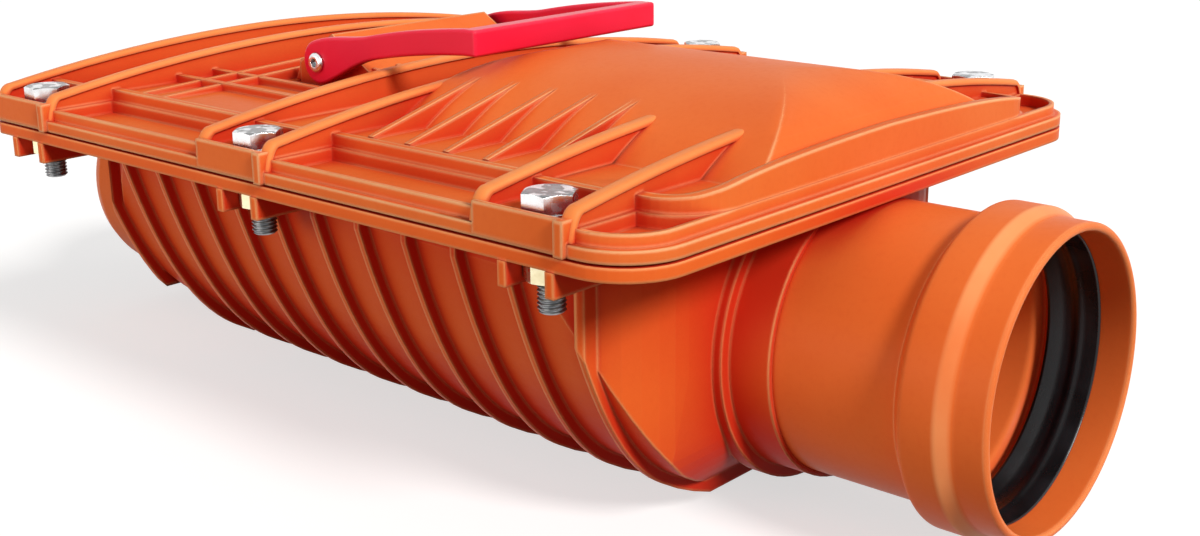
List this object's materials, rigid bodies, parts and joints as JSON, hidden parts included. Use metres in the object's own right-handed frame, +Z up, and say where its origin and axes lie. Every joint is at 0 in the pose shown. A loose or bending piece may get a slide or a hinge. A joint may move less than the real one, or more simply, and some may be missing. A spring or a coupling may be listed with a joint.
{
  "type": "backwater valve",
  "caption": "Ribbed orange plastic backwater valve for a buried drain, with a bolted domed lid, an inlet spigot, a sealed outlet socket, a swing flap and a red locking lever.",
  "frame": {"origin": "middle of the underside, on the plane of the foot, below the pipe axis", "axes": "+X along the pipe towards the outlet socket, +Y across the lid, +Z up"},
  "size_m": [0.54, 0.306, 0.182],
  "materials": {
    "orange_plastic": "satin moulded drain plastic",
    "red_plastic": "glossy moulded lever",
    "grey_plastic": "matte bearing plastic",
    "black_rubber": "moulded seal rubber",
    "zinc_steel": "zinc plated fasteners",
    "stainless_steel": "brushed stainless pins and plates"
  },
  "bodies": {
    "housing": {"body_shell": "orange_plastic", "inlet_spigot": "orange_plastic", "outlet_socket": "orange_plastic", "socket_seal": "black_rubber", "seat_ring": "orange_plastic", "hinge_pin": "stainless_steel", "hinge_clips": "stainless_steel", "lid_cover": "orange_plastic", "lid_gasket": "black_rubber", "lid_bolts": "zinc_steel", "lid_washers": "zinc_steel", "lid_nuts": "zinc_steel", "shaft_bushes": "grey_plastic", "shaft_o_rings": "black_rubber"},
    "lever": {"lever_yoke": "red_plastic", "lever_shaft": "stainless_steel", "lever_screws": "zinc_steel", "lever_washers": "grey_plastic", "lock_cam": "stainless_steel", "cam_pin": "stainless_steel"},
    "flap": {"flap_plate": "orange_plastic", "flap_seal": "black_rubber", "flap_retainer": "stainless_steel", "flap_screws": "stainless_steel"}
  },
  "joints": [
    {"name": "lever_flip", "type": "hinge", "parent": "housing", "child": "lever", "pos_m": [-0.067, 0, 0.158], "axis": [0, -1, 0], "range_deg": [0, 115]},
    {"name": "flap_swing", "type": "hinge", "parent": "housing", "child": "flap", "pos_m": [-0.06564, 0, 0.13053], "axis": [0, -1, 0], "range_deg": [0, 80]}
  ]
}
